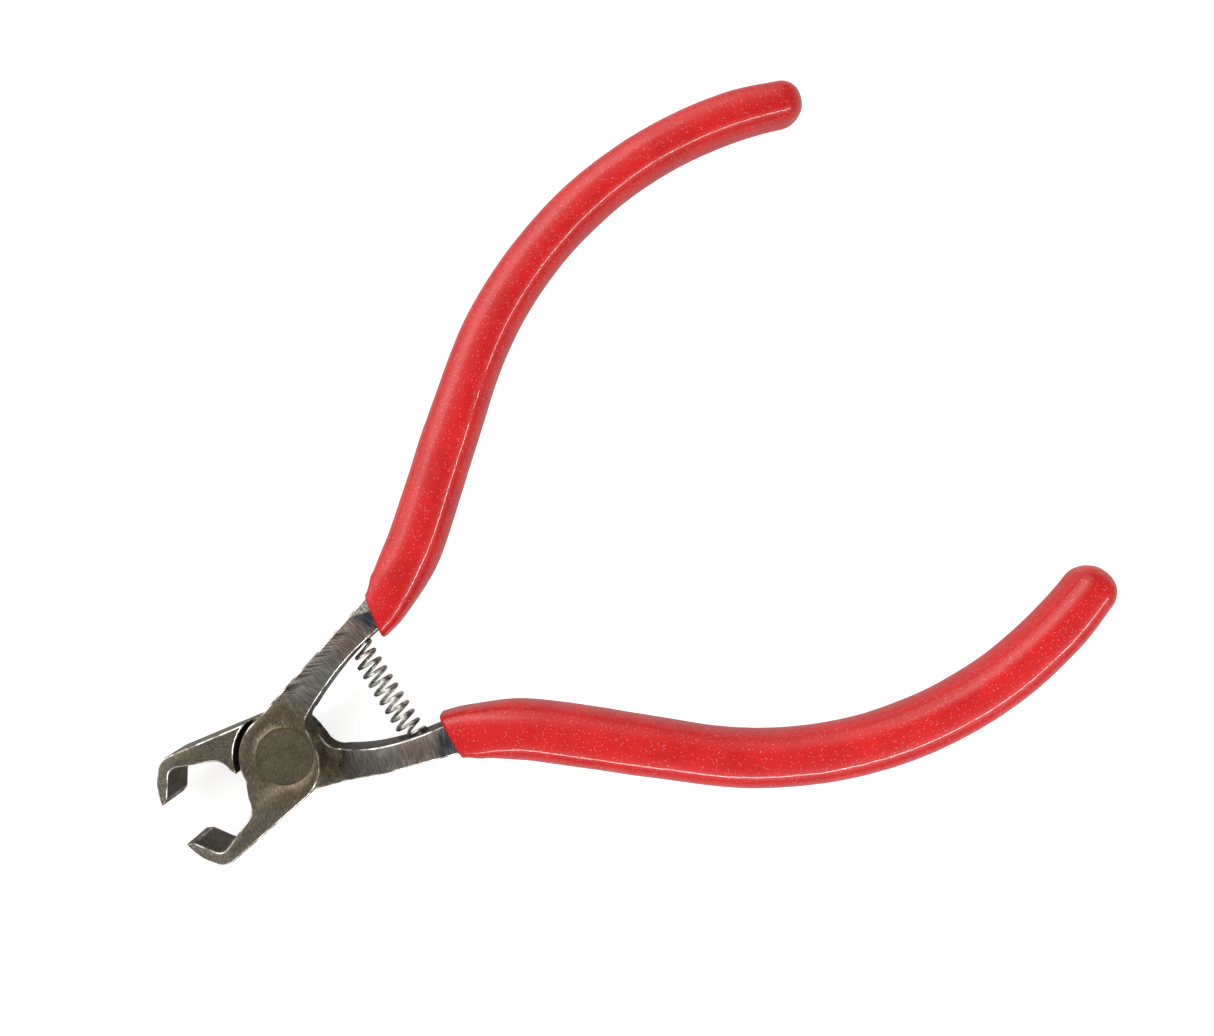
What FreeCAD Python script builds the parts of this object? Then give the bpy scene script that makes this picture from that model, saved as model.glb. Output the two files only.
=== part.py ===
# Small end-cutting flush nipper with hooked jaws, a riveted lap joint, a coil return
# spring and dipped grips.  Millimetres.  The pivot axis is Z, the handles point along +X,
# and the back faces of the joint lie on Z = 0.  The tool stands fully open.
#
# Both levers are the same forging: the rear one is the front one turned over about X.
import FreeCAD
import Part
import Sketcher
import math
import os
from FreeCAD import Placement, Rotation, Vector

# Driving sizes.  Each one is a cell of the sheet, with its name here as the alias.
sizes = {
    "thick": 9.0,               # joint and jaws, front face to back face
    "lap_gap": 0.06,            # play between the two half laps
    "disc_radius": 6.2,         # half-lap disc
    "shoulder_radius": 6.9,     # shoulder that clears the other lever's disc
    "shank_drop": 1.3,          # shank faces below the joint faces
    "ramp_start": 4.4,          # front ramp from the joint face down to the shank
    "ramp_end": 5.3,
    "lap_clear": 0.5,           # where the half lap becomes as wide as the shank
    "lap_start": 4.0,           # where it starts to run out along the shank
    "lap_runout": 10.0,         # and where it has reached the shank's back face
    "bore_radius": 2.5,
    "head_radius": 3.9,         # countersunk rivet heads, ground flush
    "head_depth": 1.5,
    "rivet_play": 0.04,         # running clearance in the front lever
    "spring_place": 15.35,      # spring axis from the pivot
    "spring_length": 16.4,
    "spring_radius": 1.58,      # middle of the wire
    "spring_pitch": 1.41,
    "wire_radius": 0.24,
    "seat_radius": 2.1,         # blind hole in a shank that holds an end of the spring
    "seat_floor": 8.3,          # its floor, from the middle
    "collar_place": 20.0,       # open end of a grip
    "core_half": 2.2,           # half width of the steel inside a grip
    "grip_lead": 3.0,           # the blank starts this far ahead of the handle's curve
    "mouth_start": 10.0,        # box that trims the blank back to its open end
    "mouth_width": 25.0,
    "grip_round": 3.0,          # rounding of a grip's long edges
    "front_grip_half": 3.6,
    "rear_grip_half": 3.9,
    "tang_x": 19.9,             # middle of the shank where the handle's curve starts
    "tang_y": 9.98,
    "bend_radius": 36.5,
    "slope_length": 20.6,
    "bow_radius": 56.9,
    "beyond": 130.0,            # past the tool's far end
    "below": -1.0,              # past its back face
}

# Headings of the handle's middle line, in degrees from +X.
tang_heading = 19.5
slope_heading = 40.1
core_end_heading = -12.0
grip_end_heading = -20.0

document = FreeCAD.newDocument("flush_cutter")
sheet = document.addObject("Spreadsheet::Sheet", "Sizes")
cells = []


def store(alias, value):
    """Put one number in the sheet under an alias."""
    cells.append(alias)
    row = len(cells)
    sheet.set("A%d" % row, alias)
    sheet.set("B%d" % row, "%.6f" % value)
    sheet.setAlias("B%d" % row, alias)


for size_name, size_value in sizes.items():
    store(size_name, size_value)
document.recompute()


# Sketches

def new_sketch(body, name, role):
    """An empty sketch on one of the body's own origin planes."""
    planes = [item for item in body.Origin.OriginFeatures if item.Role == role]
    sketch = body.newObject("Sketcher::SketchObject", name)
    sketch.AttachmentSupport = (planes[0], [""])
    sketch.MapMode = "FlatFace"
    return sketch


def bind(sketch, constraint, expression):
    """Add a constraint and tie its value to the sheet."""
    index = sketch.addConstraint(constraint)
    sketch.setExpression("Constraints[%d]" % index, expression)


def arc_between(start, end, radius):
    """Arc under half a turn, bulging to the right of the way from start to end,
    or to the left where the radius is negative."""
    chord = end - start
    left = Vector(-chord.y, chord.x, 0).normalize()
    side = math.copysign(1.0, radius)
    reach = math.sqrt(max(radius * radius - chord.Length ** 2 / 4, 0.0))
    centre = (start + end) * 0.5 + left * (reach * side)
    return Part.Arc(start, centre - left * radius, end)


def draw_outline(sketch, corners):
    """Closed outline.  A corner is a name, x, y and the radius of the arc that leads to the
    next corner, 0 for a straight line.  Every corner and radius is a cell of the sheet."""
    placed = []
    for index, (name, x, y, radius) in enumerate(corners):
        following = corners[(index + 1) % len(corners)]
        start = Vector(x, y, 0)
        end = Vector(following[1], following[2], 0)
        store(name + "_x", x)
        store(name + "_y", y)
        if radius:
            store(name + "_radius", abs(radius))
            edge = arc_between(start, end, radius)
        else:
            edge = Part.LineSegment(start, end)
        geometry = sketch.addGeometry(edge, False)
        first, last = (2, 1) if radius < 0 else (1, 2)
        placed.append((geometry, first, last))
    document.recompute()
    for index, (name, x, y, radius) in enumerate(corners):
        geometry, first, last = placed[index]
        following, following_first = placed[(index + 1) % len(corners)][:2]
        sketch.addConstraint(Sketcher.Constraint("Coincident", geometry, last,
                                                 following, following_first))
        bind(sketch, Sketcher.Constraint("DistanceX", -1, 1, geometry, first, x), "Sizes.%s_x" % name)
        bind(sketch, Sketcher.Constraint("DistanceY", -1, 1, geometry, first, y), "Sizes.%s_y" % name)
        if radius:
            bind(sketch, Sketcher.Constraint("Radius", geometry, abs(radius)),
                 "Sizes.%s_radius" % name)


def draw_polygon(sketch, corners):
    """Closed polygon.  A corner is a pair of expressions, with their values beside them."""
    points = [Vector(x, y, 0) for _, x, _, y in corners]
    for index, point in enumerate(points):
        sketch.addGeometry(Part.LineSegment(point, points[(index + 1) % len(points)]), False)
    for index, (x_expression, x, y_expression, y) in enumerate(corners):
        sketch.addConstraint(Sketcher.Constraint("Coincident", index, 2, (index + 1) % len(points), 1))
        bind(sketch, Sketcher.Constraint("DistanceX", -1, 1, index, 1, x), x_expression)
        bind(sketch, Sketcher.Constraint("DistanceY", -1, 1, index, 1, y), y_expression)


def draw_circle(sketch, x_expression, x, y_expression, y, radius_alias):
    """Circle with its middle and radius tied to the sheet; no middle means the origin."""
    circle = Part.Circle(Vector(x, y, 0), Vector(0, 0, 1), sizes[radius_alias])
    geometry = sketch.addGeometry(circle, False)
    if x_expression:
        bind(sketch, Sketcher.Constraint("DistanceX", -1, 1, geometry, 3, x), x_expression)
        bind(sketch, Sketcher.Constraint("DistanceY", -1, 1, geometry, 3, y), y_expression)
    else:
        sketch.addConstraint(Sketcher.Constraint("Coincident", geometry, 3, -1, 1))
    bind(sketch, Sketcher.Constraint("Radius", geometry, sizes[radius_alias]), "Sizes." + radius_alias)


# Features

def pad(body, sketch):
    feature = body.newObject("PartDesign::Pad", sketch.Name + "_pad")
    feature.Profile = sketch
    feature.setExpression("Length", "Sizes.thick")
    document.recompute()


def take_away(body, sketch, kind, settings, length=None):
    """Pocket or groove that has to remove material."""
    before = body.Shape.Volume
    feature = body.newObject("PartDesign::" + kind, sketch.Name + "_cut")
    feature.Profile = sketch
    for name, value in settings.items():
        setattr(feature, name, value)
    if length:
        feature.setExpression("Length", length)
    document.recompute()
    if before - body.Shape.Volume < 0.01:
        raise RuntimeError(sketch.Name + " removes nothing")


# Handle: one middle line of arc, straight and arc, shared by the steel and the grip

def beside(point, heading, offset):
    """Point at an offset to the left of the heading."""
    angle = math.radians(heading)
    return point + Vector(-math.sin(angle), math.cos(angle), 0) * offset


def ahead(point, heading, distance):
    angle = math.radians(heading)
    return point + Vector(math.cos(angle), math.sin(angle), 0) * distance


def handle_corners(prefix, half, end_heading, lead):
    """Band of constant width along the handle, from its inner start round the half-round
    free end to its outer start.  lead carries both sides straight back from the start."""
    bend, bow = sizes["bend_radius"], sizes["bow_radius"]
    start = Vector(sizes["tang_x"], sizes["tang_y"], 0)
    bend_end = beside(beside(start, tang_heading, bend), slope_heading, -bend)
    slope_end = ahead(bend_end, slope_heading, sizes["slope_length"])
    end = beside(beside(slope_end, slope_heading, -bow), end_heading, bow)
    inner = [("start", beside(start, tang_heading, -half), bend + half),
             ("bend", beside(bend_end, slope_heading, -half), 0),
             ("slope", beside(slope_end, slope_heading, -half), half - bow),
             ("end", beside(end, end_heading, -half), half)]
    outer = [("nose", ahead(end, end_heading, half), half),
             ("back_end", beside(end, end_heading, half), bow + half),
             ("back_slope", beside(slope_end, slope_heading, half), 0),
             ("back_bend", beside(bend_end, slope_heading, half), half - bend),
             ("back_start", beside(start, tang_heading, half), 0)]
    if lead:
        inner.insert(0, ("lead", ahead(inner[0][1], tang_heading, -lead), 0))
        outer.append(("back_lead", ahead(outer[-1][1], tang_heading, -lead), 0))
    return [("%s_%s" % (prefix, name), point.x, point.y, radius)
            for name, point, radius in inner + outer]


# Lever: hooked jaw, half-lap disc, shank and the steel inside the grip

def on_disc(degrees):
    angle = math.radians(degrees)
    return sizes["disc_radius"] * math.cos(angle), sizes["disc_radius"] * math.sin(angle)


def lever_corners(prefix):
    """Outline seen from the front, anticlockwise from the cutting edge along the outside."""
    jaw = [("blade_tip", -17.45, -2.95, 8.0),
           ("hook_back", -15.5, -7.3, 2.2),
           ("hook_heel", -13.2, -8.35, 0),
           ("arm_foot", -1.0, -6.35, 5.8),
           ("disc_side", 4.15, -0.5, 0),
           ("root_low", 4.35, 0.9, -2.6),
           ("root_high", 6.1, 3.4, -36.0)]
    top = [("disc_top", 0.4, 6.45, 0),
           ("disc_from",) + on_disc(97.0) + (sizes["disc_radius"],),
           ("disc_to",) + on_disc(180.5) + (0,),
           ("bay_top", -7.2, -2.35, -2.4),
           ("bay_foot", -8.75, -4.62, 0),
           ("hook_inner", -13.1, -6.4, -1.3),
           ("blade_root", -14.65, -5.9, 0),
           ("blade_back", -16.35, -3.4, 0)]
    named = [("%s_%s" % (prefix, corner[0]),) + corner[1:] for corner in jaw]
    named += handle_corners(prefix + "_core", sizes["core_half"], core_end_heading, 0)
    named += [("%s_%s" % (prefix, corner[0]),) + corner[1:] for corner in top]
    return named


def add_lever(label):
    body = document.addObject("PartDesign::Body", label)
    body.Label = label
    outline = new_sketch(body, label + "_outline", "XY_Plane")
    draw_outline(outline, lever_corners(label))
    pad(body, outline)

    lap = new_sketch(body, label + "_lap", "XY_Plane")
    draw_circle(lap, None, 0, None, 0, "shoulder_radius")
    take_away(body, lap, "Pocket", {"Reversed": True}, "Sizes.thick / 2 + Sizes.lap_gap / 2")

    thick, drop, beyond = sizes["thick"], sizes["shank_drop"], sizes["beyond"]
    face = new_sketch(body, label + "_front_ramp", "XZ_Plane")
    draw_polygon(face, [
        ("Sizes.ramp_start", sizes["ramp_start"], "Sizes.thick", thick),
        ("Sizes.ramp_end", sizes["ramp_end"], "Sizes.thick - Sizes.shank_drop", thick - drop),
        ("Sizes.beyond", beyond, "Sizes.thick - Sizes.shank_drop", thick - drop),
        ("Sizes.beyond", beyond, "Sizes.thick", thick)])
    take_away(body, face, "Pocket", {"Type": "ThroughAll", "Midplane": True})

    half_lap = (thick + sizes["lap_gap"]) / 2
    back = new_sketch(body, label + "_back_ramp", "XZ_Plane")
    draw_polygon(back, [
        ("Sizes.lap_clear", sizes["lap_clear"], "Sizes.below", sizes["below"]),
        ("Sizes.beyond", beyond, "Sizes.below", sizes["below"]),
        ("Sizes.beyond", beyond, "Sizes.shank_drop", drop),
        ("Sizes.lap_runout", sizes["lap_runout"], "Sizes.shank_drop", drop),
        ("Sizes.lap_start", sizes["lap_start"], "Sizes.thick / 2 + Sizes.lap_gap / 2", half_lap),
        ("Sizes.lap_clear", sizes["lap_clear"], "Sizes.thick / 2 + Sizes.lap_gap / 2", half_lap)])
    take_away(body, back, "Pocket", {"Type": "ThroughAll", "Midplane": True})

    bore, head = sizes["bore_radius"], sizes["head_radius"]
    seat = new_sketch(body, label + "_rivet_seat", "XZ_Plane")
    draw_polygon(seat, [
        ("0", 0.0, "Sizes.below", sizes["below"]),
        ("Sizes.bore_radius", bore, "Sizes.below", sizes["below"]),
        ("Sizes.bore_radius", bore, "Sizes.thick - Sizes.head_depth", thick - sizes["head_depth"]),
        ("Sizes.head_radius", head, "Sizes.thick", thick),
        ("0", 0.0, "Sizes.thick", thick)])
    take_away(body, seat, "Groove", {"ReferenceAxis": (seat, ["V_Axis"])})

    hole = new_sketch(body, label + "_spring_seat", "XZ_Plane")
    draw_circle(hole, "Sizes.spring_place", sizes["spring_place"], "Sizes.thick / 2", thick / 2,
                "seat_radius")
    take_away(body, hole, "Pocket", {}, "Sizes.seat_floor")
    return body


def add_grip(label, half, lever):
    """Dipped sleeve: a rounded band along the handle, hollow where the steel is."""
    blank = document.addObject("PartDesign::Body", label + "_blank")
    outline = new_sketch(blank, label + "_outline", "XY_Plane")
    draw_outline(outline, handle_corners(label, half, grip_end_heading, sizes["grip_lead"]))
    pad(blank, outline)

    collar, start, width = sizes["collar_place"], sizes["mouth_start"], sizes["mouth_width"]
    mouth = new_sketch(blank, label + "_mouth", "XY_Plane")
    draw_polygon(mouth, [
        ("Sizes.mouth_start", start, "0", 0.0),
        ("Sizes.collar_place", collar, "0", 0.0),
        ("Sizes.collar_place", collar, "Sizes.mouth_width", width),
        ("Sizes.mouth_start", start, "Sizes.mouth_width", width)])
    take_away(blank, mouth, "Pocket", {"Type": "ThroughAll", "Midplane": True})

    square = blank.Tip
    long_edges = []
    for index, edge in enumerate(square.Shape.Edges):
        box = edge.BoundBox
        if box.ZLength < 0.001 and box.XMax > collar + 0.01:
            long_edges.append("Edge%d" % (index + 1))
    rounding = blank.newObject("PartDesign::Fillet", label + "_rounding")
    rounding.Base = (square, long_edges)
    rounding.setExpression("Radius", "Sizes.grip_round")
    document.recompute()

    grip = document.addObject("Part::Cut", label)
    grip.Label = label
    grip.Base = blank
    grip.Tool = lever
    return blank, grip


def add_rivet(label):
    """Pin with two countersunk heads.  The half in the front lever has running clearance."""
    body = document.addObject("PartDesign::Body", label)
    body.Label = label
    profile = new_sketch(body, label + "_profile", "XZ_Plane")
    thick, bore, head = sizes["thick"], sizes["bore_radius"], sizes["head_radius"]
    depth, play = sizes["head_depth"], sizes["rivet_play"]
    draw_polygon(profile, [
        ("0", 0.0, "0", 0.0),
        ("Sizes.head_radius", head, "0", 0.0),
        ("Sizes.bore_radius", bore, "Sizes.head_depth", depth),
        ("Sizes.bore_radius", bore, "Sizes.thick / 2 - Sizes.lap_gap / 2", (thick - sizes["lap_gap"]) / 2),
        ("Sizes.bore_radius - Sizes.rivet_play", bore - play,
         "Sizes.thick / 2 - Sizes.lap_gap / 2", (thick - sizes["lap_gap"]) / 2),
        ("Sizes.bore_radius - Sizes.rivet_play", bore - play,
         "Sizes.thick - Sizes.head_depth", thick - depth),
        ("Sizes.head_radius - Sizes.rivet_play", head - play, "Sizes.thick", thick),
        ("0", 0.0, "Sizes.thick", thick)])
    turned = body.newObject("PartDesign::Revolution", label + "_turned")
    turned.Profile = profile
    turned.ReferenceAxis = (profile, ["V_Axis"])
    return body


def add_spring(label):
    """Compression spring from seat to seat, its axis along Y."""
    body = document.addObject("PartDesign::Body", label)
    body.Label = label
    wire = new_sketch(body, label + "_wire", "XY_Plane")
    low = sizes["wire_radius"] - sizes["spring_length"] / 2
    draw_circle(wire, "Sizes.spring_radius", sizes["spring_radius"],
                "Sizes.wire_radius - Sizes.spring_length / 2", low, "wire_radius")
    coil = body.newObject("PartDesign::AdditiveHelix", label + "_coil")
    coil.Profile = wire
    coil.ReferenceAxis = (wire, ["V_Axis"])
    coil.Mode = 0
    coil.LeftHanded = True
    coil.setExpression("Pitch", "Sizes.spring_pitch")
    coil.setExpression("Height", "Sizes.spring_length - 2 * Sizes.wire_radius")
    body.setExpression("Placement.Base.x", "Sizes.spring_place")
    body.setExpression("Placement.Base.z", "Sizes.thick / 2")
    return body


front_lever = add_lever("front_lever")
rear_lever = add_lever("rear_lever")
front_blank, front_grip = add_grip("front_grip", sizes["front_grip_half"], front_lever)
rear_blank, rear_grip = add_grip("rear_grip", sizes["rear_grip_half"], rear_lever)
turned_over = Placement(Vector(0, 0, sizes["thick"]), Rotation(Vector(1, 0, 0), 180))
for forging in (rear_lever, rear_blank):
    forging.Placement = turned_over
    forging.setExpression("Placement.Base.z", "Sizes.thick")

parts = [front_lever, rear_lever, front_grip, rear_grip, add_rivet("pivot_rivet"),
         add_spring("return_spring")]
document.recompute()

for item in document.Objects:
    if "Invalid" in item.State or "Error" in item.State:
        raise RuntimeError(item.Name + " failed")
os.makedirs("parts", exist_ok=True)
for part in parts:
    shape = part.Shape
    if shape.isNull() or not shape.isValid() or len(shape.Solids) != 1:
        raise RuntimeError(part.Label + " is not one valid solid")
    print("%-18s %9.1f mm3  %s" % (part.Label, shape.Volume, shape.BoundBox))
    shape.exportStep("parts/%s.step" % part.Label)
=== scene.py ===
import math
import bmesh
import bpy
from mathutils import Matrix, Vector, noise


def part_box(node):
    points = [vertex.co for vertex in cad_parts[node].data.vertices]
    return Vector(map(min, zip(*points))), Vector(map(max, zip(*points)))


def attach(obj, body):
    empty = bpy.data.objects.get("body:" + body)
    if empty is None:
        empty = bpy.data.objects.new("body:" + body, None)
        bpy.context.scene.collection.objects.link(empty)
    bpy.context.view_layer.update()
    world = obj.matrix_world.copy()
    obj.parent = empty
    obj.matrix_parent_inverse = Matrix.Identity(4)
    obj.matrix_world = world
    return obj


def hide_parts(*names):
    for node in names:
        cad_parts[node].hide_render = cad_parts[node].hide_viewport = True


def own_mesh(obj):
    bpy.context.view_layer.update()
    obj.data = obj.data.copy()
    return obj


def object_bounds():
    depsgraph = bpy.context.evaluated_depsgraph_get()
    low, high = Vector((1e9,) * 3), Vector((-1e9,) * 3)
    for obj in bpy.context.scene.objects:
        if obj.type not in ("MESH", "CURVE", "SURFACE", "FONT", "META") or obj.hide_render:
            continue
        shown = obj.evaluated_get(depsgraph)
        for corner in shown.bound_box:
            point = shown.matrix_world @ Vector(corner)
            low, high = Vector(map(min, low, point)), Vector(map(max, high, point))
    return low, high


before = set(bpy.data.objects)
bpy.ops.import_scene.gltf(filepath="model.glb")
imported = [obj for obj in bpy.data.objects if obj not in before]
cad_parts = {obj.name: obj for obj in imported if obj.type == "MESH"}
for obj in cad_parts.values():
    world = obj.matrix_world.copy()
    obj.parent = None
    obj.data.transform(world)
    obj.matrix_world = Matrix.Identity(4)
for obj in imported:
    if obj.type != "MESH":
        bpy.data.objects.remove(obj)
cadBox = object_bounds()
print("frame loaded")

mm = 0.001
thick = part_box("front_lever")[1].z / mm      # joint and jaws, back face to front face
midPlane = thick / 2


# 0 to 1 with soft ends
def smooth(share):
    share = max(0.0, min(1.0, share))
    return share * share * (3 - 2 * share)


class Tone:
    # a shader socket that Python's operators work on
    def __init__(self, tree, socket=None):
        self.tree = tree
        self.socket = socket

    # any node: its type, its settings, then the values or links of its sockets
    def node(self, kind, settings=None, values=None, out=0):
        made = self.tree.nodes.new(kind)
        for name, value in (settings or {}).items():
            setattr(made, name, value)
        for name, value in (values or {}).items():
            if isinstance(value, Tone):
                self.tree.links.new(value.socket, made.inputs[name])
            else:
                made.inputs[name].default_value = value
        return Tone(self.tree, made.outputs[out] if made.outputs else None)

    def math(self, operation, first, second):
        return self.node("ShaderNodeMath", {"operation": operation}, {0: first, 1: second})

    def __add__(self, other):
        return self.math("ADD", self, other)

    def __radd__(self, other):
        return self.math("ADD", other, self)

    def __sub__(self, other):
        return self.math("SUBTRACT", self, other)

    def __rsub__(self, other):
        return self.math("SUBTRACT", other, self)

    def __mul__(self, other):
        return self.math("MULTIPLY", self, other)

    def __rmul__(self, other):
        return self.math("MULTIPLY", other, self)

    def least(self, other):
        return self.math("MINIMUM", self, other)

    # 0 below low, 1 above high, smooth between; low above high turns it round
    def rise(self, low, high):
        if low > high:
            return 1 - self.rise(high, low)
        return self.node("ShaderNodeMapRange", {"interpolation_type": "SMOOTHSTEP"},
                         {"Value": self, "From Min": low, "From Max": high})

    # one colour where this value is 0, another where it is 1
    def tint(self, under, over):
        colours = {0: self}
        for slot, colour in ((6, under), (7, over)):
            colours[slot] = colour if isinstance(colour, Tone) else (*colour, 1.0)
        return self.node("ShaderNodeMix", {"data_type": "RGBA"}, colours, 2)


def newMaterial(name):
    material = bpy.data.materials.new(name)
    material.use_nodes = True
    tree = material.node_tree
    tree.nodes.clear()
    return material, Tone(tree)


# place of the shaded point in millimetres, carried with the piece
def placeOf(tone):
    where = tone.node("ShaderNodeTexCoord", None, None, 3)
    scaled = tone.node("ShaderNodeVectorMath", {"operation": "SCALE"}, {0: where, "Scale": 1 / mm})
    return [tone.node("ShaderNodeSeparateXYZ", None, {0: scaled}, out) for out in range(3)]


# distance from the tool's pivot axis
def radiusOf(tone, x, y):
    flat = tone.node("ShaderNodeCombineXYZ", None, {0: x, 1: y})
    return tone.node("ShaderNodeVectorMath", {"operation": "LENGTH"}, {0: flat}, 1)


def grain(tone, x, y, z, scale, detail=2.0, rough=0.5):
    place = tone.node("ShaderNodeCombineXYZ", None, {0: x, 1: y, 2: z})
    return tone.node("ShaderNodeTexNoise", None,
                     {"Vector": place, "Scale": scale, "Detail": detail, "Roughness": rough})


def finishMaterial(material, tone, shader):
    tone.node("ShaderNodeOutputMaterial", None, {"Surface": shader})
    return material


# Steel: burnished brown-grey joint, greyer brushed shanks, heat brown and a darker blue-black band beside the
# grips, painted shade on the rear shank near the joint

steel = {
    "jointBrown": (0.130, 0.098, 0.058),
    "shankGrey": (0.190, 0.181, 0.163),
    "heatBrown": (0.215, 0.150, 0.122),
    "gripBandBlueBlack": (0.028, 0.034, 0.046),
    "sootAndShadeBrown": (0.052, 0.039, 0.026),
    "groundLight": (0.42, 0.41, 0.37),
    "wornEdge": (0.80, 0.78, 0.71),
    "rivetOlive": ((0.112, 0.092, 0.057), (0.150, 0.127, 0.080)),
    "cornerGrey": (0.14, 0.13, 0.11),
    "wireStain": (0.21, 0.20, 0.155),
    "wireBright": (0.66, 0.64, 0.57),
    "metallic": 0.92,
    "wireMetallic": 0.95,
    "shankSlope": 16.7,         # degrees, outer edge of a shank
    "outerEdge": 6.06,          # its distance from the pivot
    "shankFrom": (5.6, 7.6),    # where brushing across the joint turns to brushing across the shank
    "cornerFrom": 19.3,         # rough-ground corner beside the grip
    "cornerSlope": 0.62,
    "hookFrom": (-12.6, -14.2),
    "brushLight": 0.48,         # share of light brush marks, then of dark ones
    "brushDark": 0.66,
    "nickDark": 0.85,
    "brushBump": 0.05,          # millimetres
    "rivetBump": 0.04,
    "wireBump": 0.02,
}


def forgedSteel(name, side, worn):
    material, tone = newMaterial(name)
    x, y, z = placeOf(tone)
    y = y * side
    slope = math.radians(steel["shankSlope"])
    along = x * math.cos(slope) + y * math.sin(slope)
    across = y * math.cos(slope) - x * math.sin(slope)
    outward = steel["outerEdge"] - across            # in from the shank's outer edge
    radius = radiusOf(tone, x, y)

    blotch = grain(tone, x, y, z, 0.35, 3.0, 0.6)
    brush = grain(tone, along * 8.5, across * 0.55 + along * 1.2, z * 1.2, 1.0, 4.0, 0.66)
    lapMarks = grain(tone, x * 1.6 + y * 0.9, (y * 1.4 - x * 2.4) * -3.2, z, 1.0, 4.0, 0.66)
    onShank = along.rise(*steel["shankFrom"])
    marks = onShank * brush + (1 - onShank) * lapMarks
    wander = (blotch - 0.5) * 3.0

    grey = (radius + wander).rise(5.0, 8.0) * (0.30 + onShank * 0.70)
    colour = grey.tint(steel["jointBrown"], steel["shankGrey"])
    colour = (blotch.rise(0.52, 0.74) * 0.42).tint(colour, steel["sootAndShadeBrown"])
    # painted shade: the rear lever's shank is darkened near the joint, where its ramp slopes down
    shade = onShank * (along + wander * 0.5).rise(9.0, 6.0) * (side < 0) * 0.5
    colour = shade.tint(colour, steel["sootAndShadeBrown"])
    warm = (along + wander).rise(13.2, 16.0) * (along + wander).rise(21.2, 19.2) * 0.75
    colour = warm.tint(colour, steel["heatBrown"])
    # a dark blue-black band across the shank just before the grip
    blue = (along + wander * 0.35 - outward * 0.30).rise(18.6, 19.8)
    colour = (blue * 0.92).tint(colour, steel["gripBandBlueBlack"])
    colour = (marks.rise(0.47, 0.72) * steel["brushLight"]).tint(colour, steel["groundLight"])
    colour = (marks.rise(0.52, 0.30) * steel["brushDark"]).tint(colour, steel["sootAndShadeBrown"])

    # short slanting file nicks along a shank's outer edge
    nicks = grain(tone, along * 1.35 + across * 1.5, across * 0.12, z * 0.1, 1.0, 2.0, 0.7)
    nickBand = outward.rise(2.1, 0.7) * along.rise(2.0, 4.0) * along.rise(19.0, 17.0)
    shankTop = forging["shankTop"]
    upward = z.rise(shankTop - 0.7, shankTop - 0.2) if side > 0 else 0.3     # fainter on the rear lever
    nick = nicks.rise(0.50, 0.58) * nickBand * upward
    colour = (nick * steel["nickDark"]).tint(colour, steel["sootAndShadeBrown"])

    # rough-ground corner beside the grip; its lighter colour is only on the front lever
    corner = (outward - (along - steel["cornerFrom"]) * steel["cornerSlope"]).rise(0.25, -0.15)
    corner = corner * along.rise(19.0, 19.8)
    grit = grain(tone, x, y, z, 3.6, 3.0, 0.7)
    rasped = grit.rise(0.35, 0.65).tint(steel["cornerGrey"], steel["groundLight"])
    colour = (corner * (side > 0)).tint(colour, rasped)

    # the hooks are ground crosswise and lighter
    hook = x.rise(*steel["hookFrom"])
    colour = (hook * grit.rise(0.46, 0.66) * 0.4).tint(colour, steel["groundLight"])
    if worn:
        patch = grain(tone, x, y, z, 0.55, 2.0, 0.6).rise(0.40, 0.62)
        colour = (patch * (0.35 + grit * 0.9)).least(1.0).tint(colour, steel["wornEdge"])

    rough = 0.30 + marks * 0.16 + hook * 0.12 + corner * 0.2 + blotch * 0.08
    if worn:
        rough = 0.24 + grit * 0.14
    height = marks + nick * -1.6 + grit * (hook * 1.2 + corner * 1.6) + blotch * 0.5
    bump = tone.node("ShaderNodeBump", None, {"Strength": 0.42, "Distance": steel["brushBump"] * mm,
                                              "Height": height})
    shader = tone.node("ShaderNodeBsdfPrincipled", None, {
        "Base Color": colour, "Metallic": steel["metallic"], "Roughness": rough, "Normal": bump})
    return finishMaterial(material, tone, shader)


# rivet heads ground with the joint: same brown, a little more olive, finer marks
def flushSteel(name):
    material, tone = newMaterial(name)
    x, y, z = placeOf(tone)
    swirl = grain(tone, x * 1.6 + y * 0.9, (y * 1.4 - x * 2.4) * -3.6, z, 1.0, 4.0, 0.66)
    blotch = grain(tone, x, y, z, 0.5, 3.0, 0.6)
    radius = radiusOf(tone, x, y)
    colour = blotch.rise(0.35, 0.65).tint(*steel["rivetOlive"])
    colour = (swirl.rise(0.48, 0.74) * 0.42).tint(colour, steel["groundLight"])
    rim = radius.rise(3.55, 3.86)
    colour = (rim * 0.35).tint(colour, steel["sootAndShadeBrown"])
    bump = tone.node("ShaderNodeBump", None, {"Strength": 0.35, "Distance": steel["rivetBump"] * mm,
                                              "Height": swirl + blotch * 0.5})
    shader = tone.node("ShaderNodeBsdfPrincipled", None, {
        "Base Color": colour, "Metallic": steel["metallic"], "Roughness": 0.30 + swirl * 0.18,
        "Normal": bump})
    return finishMaterial(material, tone, shader)


def drawnWire(name):
    material, tone = newMaterial(name)
    x, y, z = placeOf(tone)
    stain = grain(tone, x, y, z, 1.3, 3.0, 0.6)
    die = grain(tone, x * 0.8, y * 9.0, z * 0.8, 1.0, 2.0, 0.5)
    colour = stain.rise(0.38, 0.66).tint(steel["wireStain"], steel["wireBright"])
    bump = tone.node("ShaderNodeBump", None, {"Strength": 0.3, "Distance": steel["wireBump"] * mm,
                                              "Height": die})
    shader = tone.node("ShaderNodeBsdfPrincipled", None, {
        "Base Color": colour, "Metallic": steel["wireMetallic"], "Roughness": 0.26 + stain * 0.15,
        "Normal": bump})
    return finishMaterial(material, tone, shader)


# Vinyl: clear deep red over fine pearl flecks

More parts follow.
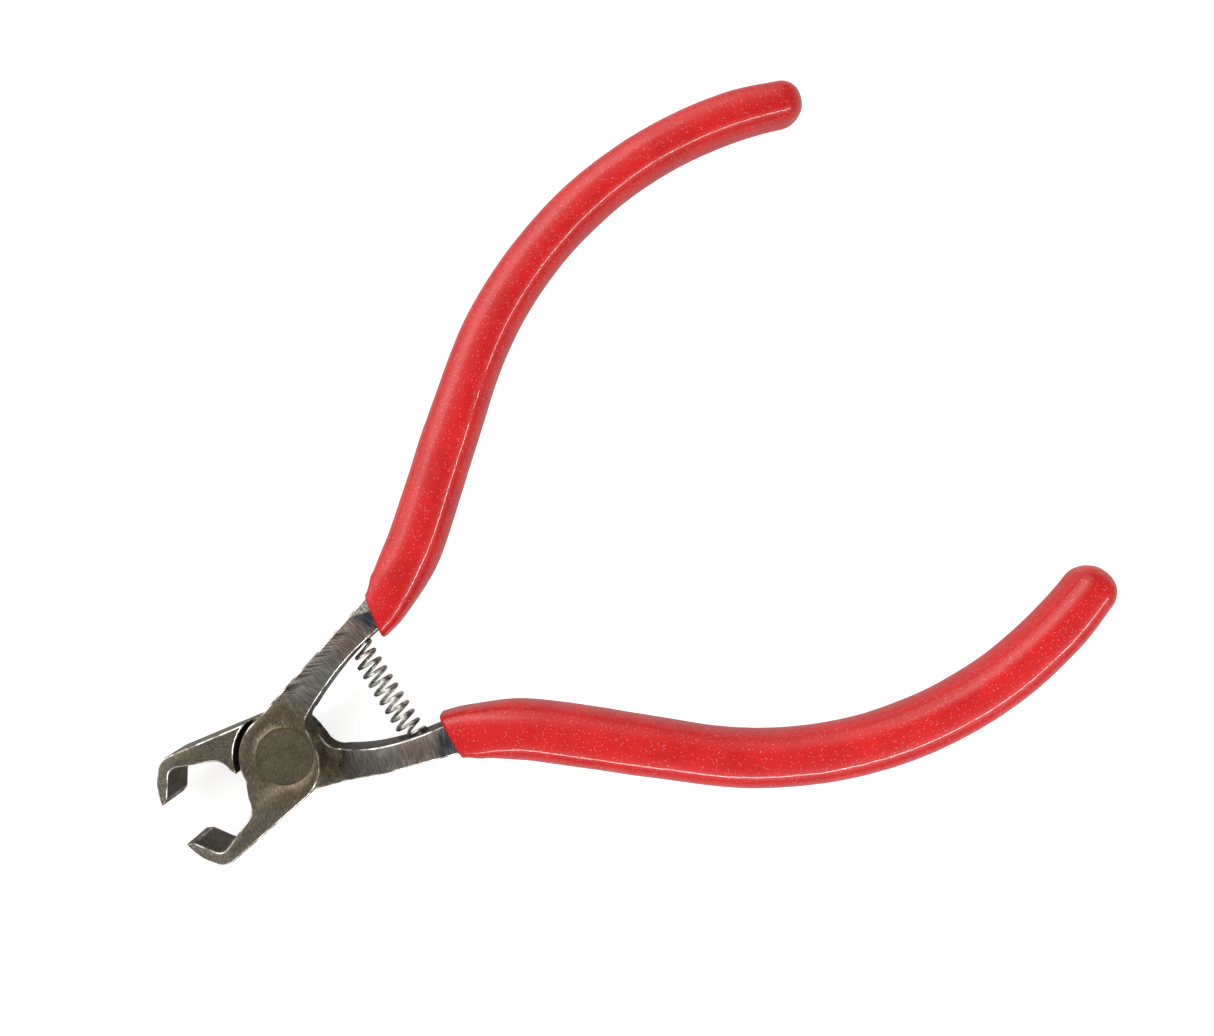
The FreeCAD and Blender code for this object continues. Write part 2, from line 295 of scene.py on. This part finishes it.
vinyl = {
    "red": (0.58, 0.006, 0.005),
    "deepRed": (0.48, 0.004, 0.004),
    "pink": (0.74, 0.13, 0.16),
    "pearl": (0.86, 0.42, 0.47),
    "fleckSize": 0.16,          # millimetres
    "fleckShare": 0.09,
    "fleckMix": 0.40,
    "dustSize": 0.55,           # of a fleck's size
    "dustShare": 0.22,
    "dustMix": 0.22,
    "peelBump": 0.05,           # millimetres
    "specular": 0.30,
    "subsurface": 0.10,
    "coat": 0.45,
    "coatRoughness": 0.06,
}


def dippedVinyl(name):
    material, tone = newMaterial(name)
    x, y, z = placeOf(tone)
    place = tone.node("ShaderNodeCombineXYZ", None, {0: x, 1: y, 2: z})
    cloud = grain(tone, x, y, z, 0.16, 3.0, 0.55)
    peel = grain(tone, x, y, z, 1.1, 2.0, 0.5)
    flecks = []
    sizes = (vinyl["fleckSize"], vinyl["fleckSize"] * vinyl["dustSize"])
    for size, share in zip(sizes, (vinyl["fleckShare"], vinyl["dustShare"])):
        cells = {"Vector": place, "Scale": 1 / size, "Randomness": 1.0}
        pick = tone.node("ShaderNodeSeparateColor", None,
                         {0: tone.node("ShaderNodeTexVoronoi", {"feature": "F1"}, cells, 1)})
        near = tone.node("ShaderNodeTexVoronoi", {"feature": "F1"}, cells, 0)
        flecks.append(pick.rise(1 - share, 1 - share * 0.7) * near.rise(0.52, 0.30))
    colour = cloud.rise(0.30, 0.72).tint(vinyl["deepRed"], vinyl["red"])
    pearls, dust = flecks
    colour = (dust * vinyl["dustMix"]).tint(colour, vinyl["pink"])
    colour = (pearls * vinyl["fleckMix"]).tint(colour, vinyl["pearl"])
    bump = tone.node("ShaderNodeBump", None, {"Strength": 0.25, "Distance": vinyl["peelBump"] * mm,
                                              "Height": peel + cloud * 1.5 + pearls * 0.3})
    shader = tone.node("ShaderNodeBsdfPrincipled", None, {
        "Base Color": colour, "Roughness": 0.36 + cloud * 0.10 - pearls * 0.12,
        "Specular IOR Level": vinyl["specular"], "Subsurface Weight": vinyl["subsurface"],
        "Subsurface Radius": (1.0, 0.2, 0.15), "Subsurface Scale": 0.8 * mm,
        "Coat Weight": vinyl["coat"], "Coat Roughness": vinyl["coatRoughness"], "Normal": bump})
    return finishMaterial(material, tone, shader)


def newPiece(name, mesh, materials, body, slotName, *nodes):
    piece = bpy.data.objects.new(name, mesh)
    bpy.context.scene.collection.objects.link(piece)
    for material in materials:
        mesh.materials.append(material)
    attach(piece, body)
    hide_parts(*nodes)
    return piece


# a skin over rings of points, closed at both ends
def skinRings(name, build, rings, flatEnds):
    count = len(rings[0])
    for first, second in zip(rings, rings[1:]):
        for corner in range(count):
            following = (corner + 1) % count
            build.faces.new((first[corner], first[following], second[following], second[corner]))
    build.faces.new(rings[0][::-1])
    build.faces.new(rings[-1])
    bmesh.ops.recalc_face_normals(build, faces=build.faces)
    for face in build.faces:
        face.smooth = not flatEnds or len(face.verts) == 4
    mesh = bpy.data.meshes.new(name)
    build.to_mesh(mesh)
    build.free()
    return mesh


# Levers: the forgings with their ground edges broken

forging = {
    "shankTop": 7.7,            # front face of the thinner shanks
    "weld": 0.002,
    "sameFace": 0.4,            # degrees between triangles of one face
    "edgeBreak": 0.22,
    "edgeSteps": 2,
    "edgeProfile": 0.55,
    "flatTo": 1.0,              # degrees between faces: one flat face, then a rounded wall,
    "sharpFrom": 24.0,          # then an edge to break
    "creaseFrom": 38.4,         # edges shaded sharp
    "rivetReach": 4.3,          # edges this near the rivet stay sharp, ground flush with it
    "seatReach": 2.4,           # so do those of the spring's seat
    "underGrip": 22.0,
    "faceUp": 0.5,              # least upward share of the normal of a face, not a wall
    "wideFace": 14.0,           # square millimetres, shaded flat from here
    "rampStart": 4.4,           # from the joint face down to the shank
    "rampEnd": 10.8,
    "backStart": 4.0,           # the ramp behind the lap
    "backEnd": 10.0,
    "backRound": 1.8,           # rounding to both sides of its end
    "cutGap": 0.8,              # between the cuts that let the ramps bend
    "cutSnap": 0.001,
    "levelPlay": 0.01,
}


def isUpright(face):
    return abs(face.normal.z) < forging["faceUp"]


# the short steep ramps of the plain shape run out softly along the shank
def softenRamps(build, side):
    rampStart, gap = forging["rampStart"], forging["cutGap"]
    backEnd, backRound = forging["backEnd"], forging["backRound"]
    drop = thick - forging["shankTop"]
    slope = (midPlane - drop) / (backEnd - forging["backStart"])
    place = rampStart + gap
    while place < backEnd + backRound + gap:
        faces = [face for face in build.faces if not isUpright(face)]
        edges = dict.fromkeys(edge for face in faces for edge in face.edges)     # each once, in a fixed order
        corners = dict.fromkeys(vert for face in faces for vert in face.verts)
        bmesh.ops.bisect_plane(build, geom=[*faces, *edges, *corners], dist=forging["cutSnap"] * mm,
                               plane_co=(place * mm, 0, 0), plane_no=(1, 0, 0))
        place += gap
    for vert in build.verts:
        x, z = vert.co.x / mm, vert.co.z / mm
        level = z if side > 0 else thick - z             # up from the lever's own back face
        share = (x - rampStart) / (forging["rampEnd"] - rampStart)
        inside = backRound - (x - backEnd)
        if level > forging["shankTop"] - forging["levelPlay"] and 0 < share < 1:
            level = thick - drop * smooth(share)
        elif level < midPlane and 0 < inside < 2 * backRound:
            level = drop + slope * inside * inside / (4 * backRound)
        vert.co.z = (level if side > 0 else thick - level) * mm


# edges with a wall on one side at least, away from the rivet, the spring's seat and the grip
def isBroken(edge):
    if len(edge.link_faces) != 2 or edge.calc_face_angle(0.0) < math.radians(forging["sharpFrom"]):
        return False
    if not any(isUpright(face) for face in edge.link_faces):
        return False
    middle = (edge.verts[0].co + edge.verts[1].co) / 2 / mm
    fromRivet = math.hypot(middle.x, middle.y)
    fromSeat = math.hypot(middle.x - spring["middle"], middle.z - midPlane)
    return (fromRivet > forging["rivetReach"] and fromSeat > forging["seatReach"]
            and middle.x < forging["underGrip"])


# a strip of a rounded wall or ramp meets the next strip at a small angle
def isCurved(face):
    if not isUpright(face) and face.calc_area() > forging["wideFace"] * mm * mm:
        return False
    inner = [edge for edge in face.edges if len(edge.link_faces) == 2
             and all(near.material_index == 0 for near in edge.link_faces)]
    angles = [math.degrees(edge.calc_face_angle(0.0)) for edge in inner]
    return any(forging["flatTo"] < angle < forging["sharpFrom"] for angle in angles)


def makeLever(name, node, body, side):
    build = bmesh.new()
    build.from_mesh(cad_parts[node].data)
    bmesh.ops.remove_doubles(build, verts=build.verts, dist=forging["weld"] * mm)
    bmesh.ops.dissolve_limit(build, angle_limit=math.radians(forging["sameFace"]), verts=build.verts,
                             edges=build.edges)
    softenRamps(build, side)
    edges = [edge for edge in build.edges if isBroken(edge)]
    bmesh.ops.bevel(build, geom=edges, offset=forging["edgeBreak"] * mm, segments=forging["edgeSteps"],
                    profile=forging["edgeProfile"], affect="EDGES", material=1, clamp_overlap=False)
    for vert in build.verts:            # a sharp corner's break can stand out of the faces
        vert.co.z = min(max(vert.co.z, 0), thick * mm)
    for face in build.faces:
        face.smooth = face.material_index == 1 or isCurved(face)
    mesh = bpy.data.meshes.new(name)
    bmesh.ops.triangulate(build, faces=[face for face in build.faces if len(face.verts) > 4])
    build.to_mesh(mesh)
    build.free()
    mesh.set_sharp_from_angle(angle=math.radians(forging["creaseFrom"]))
    finishes = [forgedSteel(name + "Steel", side, False), forgedSteel(name + "EdgeSteel", side, True)]
    return newPiece(name, mesh, finishes, body, "steel", node)


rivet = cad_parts["pivot_rivet"]
rivet.data.materials.clear()
rivet.data.materials.append(flushSteel("rivetSteel"))
print("rivet finished")


# Return spring: drawn wire with closed, narrower end turns

spring = {
    "radius": 1.58,             # middle of the wire
    "wire": 0.24,
    "pitch": 1.41,
    "closedTurns": 0.8,
    "closedPitch": 0.56,
    "length": 16.2,
    "middle": 15.35,
    "coilTilt": 7.3,            # degrees, each turn against the axis
    "endStart": 5.9,            # from here out the turns narrow, to stay clear of the seats' walls
    "endBlend": 0.6,
    "endNarrower": 0.45,
    "endShift": 0.6,
    "stepsPerTurn": 28,
    "sides": 10,
    "keep": 0.66,               # of its length when the blades meet
}


# rise of the wire at a turn: close at both ends, open between
def helixHeight(turn, turns):
    ends = spring["closedTurns"]
    opened = max(0.0, min(turn, turns - ends) - ends)
    closed = turn - opened
    return closed * spring["closedPitch"] + opened * spring["pitch"]


def makeSpring(name):
    ends = spring["closedTurns"]
    free = spring["length"] - 2 * spring["wire"] - 2 * ends * spring["closedPitch"]
    turns = 2 * ends + free / spring["pitch"]
    steps = round(turns * spring["stepsPerTurn"])
    half = helixHeight(turns, turns) / 2

    def wirePoint(step):
        turn = turns * step / steps
        angle = 2 * math.pi * turn
        height = helixHeight(turn, turns) - half
        ending = smooth((abs(height) - spring["endStart"]) / spring["endBlend"])
        radius = spring["radius"] - spring["endNarrower"] * ending
        sideways = radius * math.cos(angle)
        tilted = sideways * math.tan(math.radians(spring["coilTilt"]))
        shifted = sideways + spring["endShift"] * ending
        point = Vector((shifted, height + tilted, radius * math.sin(angle)))
        return point + Vector((spring["middle"], 0, midPlane))

    build = bmesh.new()
    rings = []
    for step in range(steps + 1):
        point = wirePoint(step)
        ahead = (wirePoint(min(step + 1, steps)) - wirePoint(max(step - 1, 0))).normalized()
        inward = Vector((0, 1, 0)).cross(ahead).normalized()
        upward = ahead.cross(inward)
        ring = []
        for corner in range(spring["sides"]):
            angle = 2 * math.pi * corner / spring["sides"]
            offset = inward * math.cos(angle) + upward * math.sin(angle)
            ring.append(build.verts.new((point + offset * spring["wire"]) * mm))
        rings.append(ring)
    mesh = skinRings(name, build, rings, True)
    piece = newPiece(name, mesh, [drawnWire("springWire")], "spring", "spring_wire", "return_spring")
    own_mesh(piece)
    return piece


makeLever("frontForging", "front_lever", "front", 1)
makeLever("rearForging", "rear_lever", "rear", -1)
print("levers made")
makeSpring("coilSpring")
print("spring made")


# Grips: dipped sleeves along each handle's middle line

handle = {
    "start": (19.9, 9.98),      # middle of the shank at the open end
    "startHeading": 19.5,
    "slopeHeading": 40.1,
    "bendRadius": 36.5,
    "slopeLength": 20.6,
    "bowRadius": 56.9,
}
frontGrip = {
    "side": 1,
    "endHeading": -20.0,
    "collarHeading": -9.0,
    # share of the length, half width, shift outward
    "widths": [(0.0, 2.85, -0.35), (0.03, 3.42, -0.05), (0.10, 3.86, 0.0), (0.24, 3.80, 0.0),
               (0.42, 3.55, -0.1), (0.62, 3.38, -0.2), (0.80, 3.25, -0.2), (0.93, 3.20, -0.25),
               (1.0, 3.0, -0.4)],
}
rearGrip = {
    "side": -1,
    "endHeading": -21.0,
    "collarHeading": 2.5,
    "widths": [(0.0, 3.22, -0.15), (0.03, 3.58, 0.0), (0.10, 4.12, 0.0), (0.18, 4.18, 0.0),
               (0.42, 3.98, 0.2), (0.62, 3.94, 0.3), (0.80, 3.86, 0.3), (0.93, 3.75, 0.1),
               (1.0, 3.5, 0.0)],
}
gripForm = {
    "ringGap": 0.75,
    "corners": 56,              # points round a ring
    "squareness": 2.75,         # 2 is an ellipse, more is squarer
    "collarSquareness": 4.6,
    "collarReach": 9.0,
    "collarHeight": 4.0,        # half heights
    "height": 4.42,
    "noseHeight": 4.15,
    "heightReach": 0.10,        # share of the length in which the height is reached
    "noseFrom": 0.75,
    "lip": 0.55,                # rounding of the open end
    "lipSteps": 5,
    "skewReach": 7.0,           # where the rings stand square to the handle again
    "steelHalf": 2.24,          # bore round the steel
    "steelHeight": 3.24,
    "mouthDepths": (2.5, 0.33, 0.12),
    "noseRings": 14,
    "noseLength": 1.02,         # against the half width
    "ripple": 0.055,            # unevenness of the dipped coat
    "rippleSizes": (0.13, 0.42),
    "rippleShrink": 0.6,        # moves the uneven coat mostly inward
}


# point and heading at a distance along the middle line
def alongHandle(distance, endHeading):
    turnOne = math.radians(handle["slopeHeading"] - handle["startHeading"])
    turnTwo = math.radians(handle["slopeHeading"] - endHeading)
    lengths = (turnOne * handle["bendRadius"], handle["slopeLength"], turnTwo * handle["bowRadius"])
    point = Vector((*handle["start"], midPlane))
    heading = math.radians(handle["startHeading"])
    stretches = ((lengths[0], 1 / handle["bendRadius"]), (lengths[1], 0.0),
                 (lengths[2], -1 / handle["bowRadius"]), (math.inf, 0.0))
    for length, curve in stretches:
        run = min(distance, length)
        if curve:
            turned = heading + run * curve
            way = Vector((math.sin(turned) - math.sin(heading), math.cos(heading) - math.cos(turned), 0))
            point += way / curve
            heading = turned
        else:
            point += Vector((math.cos(heading), math.sin(heading), 0)) * run
        distance -= run
        if distance <= 0:
            break
    return point, heading, sum(lengths)


# half width and shift at a share of the length
def widthAt(share, widths):
    for (low, width, shift), (high, nextWidth, nextShift) in zip(widths, widths[1:]):
        if share <= high:
            blend = smooth((share - low) / (high - low))
            return width + (nextWidth - width) * blend, shift + (nextShift - shift) * blend
    return widths[-1][1:]


def makeGrip(name, node, body, grip):
    total = alongHandle(0.0, grip["endHeading"])[2]
    corners = gripForm["corners"]
    build = bmesh.new()
    rings = []

    def addRing(distance, width, height, shift, uneven=1.0):
        point, heading, _ = alongHandle(distance, grip["endHeading"])
        skew = math.radians(grip["collarHeading"]) - heading
        skew *= 1 - smooth(distance / gripForm["skewReach"])
        left = Vector((-math.sin(heading + skew), math.cos(heading + skew), 0))
        squarer = gripForm["collarSquareness"] - gripForm["squareness"]
        squarer *= 1 - smooth(distance / gripForm["collarReach"])
        power = 2 / (gripForm["squareness"] + squarer)
        large, small = gripForm["rippleSizes"]
        ring = []
        for corner in range(corners):
            angle = 2 * math.pi * (corner + 0.5) / corners
            sideways = math.copysign(abs(math.cos(angle)) ** power, math.cos(angle)) * width
            sideways /= math.cos(skew)
            upward = math.copysign(abs(math.sin(angle)) ** power, math.sin(angle)) * height
            place = point + left * (sideways + shift) + Vector((0, 0, upward))
            out = (left * sideways + Vector((0, 0, upward))).normalized()
            wave = noise.noise(place * large) + 0.4 * noise.noise(place * small)
            place += out * (wave - gripForm["rippleShrink"]) * gripForm["ripple"] * uneven
            ring.append(build.verts.new(Vector((place.x, place.y * grip["side"], place.z)) * mm))
        rings.append(ring)

    # from inside the mouth, along the steel, out and over the lip
    width, shift = widthAt(0.0, grip["widths"])
    low, lip = gripForm["collarHeight"], gripForm["lip"]
    for depth in gripForm["mouthDepths"]:
        addRing(depth, gripForm["steelHalf"], gripForm["steelHeight"], 0.0, 0.0)
    addRing(0.0, width - lip * 0.75, low - lip * 0.9, shift, 0.2)
    for step in range(1, gripForm["lipSteps"]):
        turn = math.pi / 2 * step / gripForm["lipSteps"]
        short = lip * (1 - math.sin(turn))
        addRing(short * 0.8, width - short * 0.55, low - lip * math.cos(turn) * 0.8, shift, 0.3)

    # the sleeve, then its rounded nose
    count = round((total - lip) / gripForm["ringGap"])
    for step in range(count + 1):
        distance = lip + (total - lip) * step / count
        share = distance / total
        width, shift = widthAt(share, grip["widths"])
        nose = (share - gripForm["noseFrom"]) / (1 - gripForm["noseFrom"])
        height = low + (gripForm["height"] - low) * smooth(share / gripForm["heightReach"])
        height += (gripForm["noseHeight"] - gripForm["height"]) * smooth(nose)
        addRing(distance, width, height, shift)
    for step in range(1, gripForm["noseRings"]):
        turn = math.pi / 2 * step / gripForm["noseRings"]
        shrink = math.cos(turn) ** 0.9
        flat = (0.12 + 0.88 * shrink) * shrink ** 0.15
        addRing(total + width * math.sin(turn) * gripForm["noseLength"], width * shrink, height * flat,
                shift, shrink)
    mesh = skinRings(name, build, rings, False)
    return newPiece(name, mesh, [dippedVinyl(name + "Vinyl")], body, "grip_vinyl", node)


makeGrip("frontGripSleeve", "front_grip", "front", frontGrip)
makeGrip("rearGripSleeve", "rear_grip", "rear", rearGrip)
print("grips made")


# Floor, lights and camera

studio = {
    "floorHalf": 1.2,           # metres
    "floorGap": 0.02,           # under the tool
    "floorShade": 0.55,
    "floorGlow": 0.80,
    "skyZenith": 0.24,
    "skyHorizon": 0.40,
    "skyWindow": 2.30,          # broad bright side
    "windowWay": (-0.20, 0.86, 0.46),
    "aim": (53.49, 4.22, 9.0),
    "camera": (54.7, 8.0, 189.0),
    "roll": -32.0,              # degrees, the view's horizontal in the tool's plane
    "lens": 40.03,
    "sensor": 36.0,
}
lamps = {
    # name: where it stands and what it faces in millimetres, width, height, watts
    "wideSoftbox": ((-60.0, 480.0, 520.0), (50.0, 0.0, 0.0), 620.0, 480.0, 1.5),
    "stripLamp": ((60.0, -440.0, 400.0), (55.0, 0.0, 0.0), 820.0, 26.0, 3.4),
}


def makeFloor():
    build = bmesh.new()
    half = studio["floorHalf"]
    corners = ((-1, -1), (1, -1), (1, 1), (-1, 1))
    build.faces.new([build.verts.new((x * half, y * half, 0)) for x, y in corners])
    mesh = bpy.data.meshes.new("paleFloor")
    build.to_mesh(mesh)
    build.free()
    floor = bpy.data.objects.new("paleFloor", mesh)
    floor.location.z = cadBox[0].z - studio["floorGap"] * mm
    bpy.context.scene.collection.objects.link(floor)
    material, tone = newMaterial("palePaper")
    x, y, z = placeOf(tone)
    speck = grain(tone, x, y, z, 0.02, 2.0, 0.5)
    low = studio["floorShade"]
    colour = speck.tint((low, low, low), (low + 0.03, low + 0.03, low + 0.03))
    glow = tone.node("ShaderNodeLightPath") * studio["floorGlow"]       # seen, but lights nothing
    shader = tone.node("ShaderNodeBsdfPrincipled", None, {
        "Base Color": colour, "Roughness": 0.9, "Specular IOR Level": 0.0,
        "Emission Color": (1, 1, 1, 1), "Emission Strength": glow})
    mesh.materials.append(finishMaterial(material, tone, shader))


def makeLamps():
    for name, (stand, faces, width, height, watts) in lamps.items():
        light = bpy.data.lights.new(name, "AREA")
        light.shape = "RECTANGLE"
        light.size = width * mm
        light.size_y = height * mm
        light.energy = watts
        lamp = bpy.data.objects.new(name, light)
        bpy.context.scene.collection.objects.link(lamp)
        lamp.location = Vector(stand) * mm
        lamp.rotation_euler = (Vector(stand) - Vector(faces)).to_track_quat("Z", "Y").to_euler()
    world = bpy.data.worlds.new("paleRoom")
    world.use_nodes = True
    world.node_tree.nodes.clear()
    tone = Tone(world.node_tree)
    way = tone.node("ShaderNodeTexCoord", None, None, 0)
    up = tone.node("ShaderNodeSeparateXYZ", None, {0: way}, 2)
    window = tone.node("ShaderNodeVectorMath", {"operation": "DOT_PRODUCT"},
                       {0: way, 1: studio["windowWay"]}, 1)
    room = up.rise(0.35, 0.95) * (studio["skyZenith"] - studio["skyHorizon"]) + studio["skyHorizon"]
    bright = window.rise(0.47, 0.90) * (studio["skyWindow"] - room) + room
    sky = tone.node("ShaderNodeBackground", None, {"Strength": bright})
    tone.node("ShaderNodeOutputWorld", None, {"Surface": sky})
    bpy.context.scene.world = world


def makeCamera():
    lens = bpy.data.cameras.new("benchCamera")
    lens.lens = studio["lens"]
    lens.sensor_width = studio["sensor"]
    lens.sensor_fit = "HORIZONTAL"
    lens.clip_start = 0.01
    lens.clip_end = 10.0
    camera = bpy.data.objects.new("benchCamera", lens)
    bpy.context.scene.collection.objects.link(camera)
    place = Vector(studio["camera"])
    back = (place - Vector(studio["aim"])).normalized()
    roll = math.radians(studio["roll"])
    up = back.cross(Vector((math.cos(roll), math.sin(roll), 0))).normalized()
    right = up.cross(back)
    turn = Matrix((right, up, back)).transposed()
    camera.matrix_world = Matrix.Translation(place * mm) @ turn.to_4x4()
    bpy.context.scene.camera = camera


makeFloor()
makeLamps()
makeCamera()
bpy.context.scene.view_settings.view_transform = "Standard"
print("stage set")

bpy.context.view_layer.update()
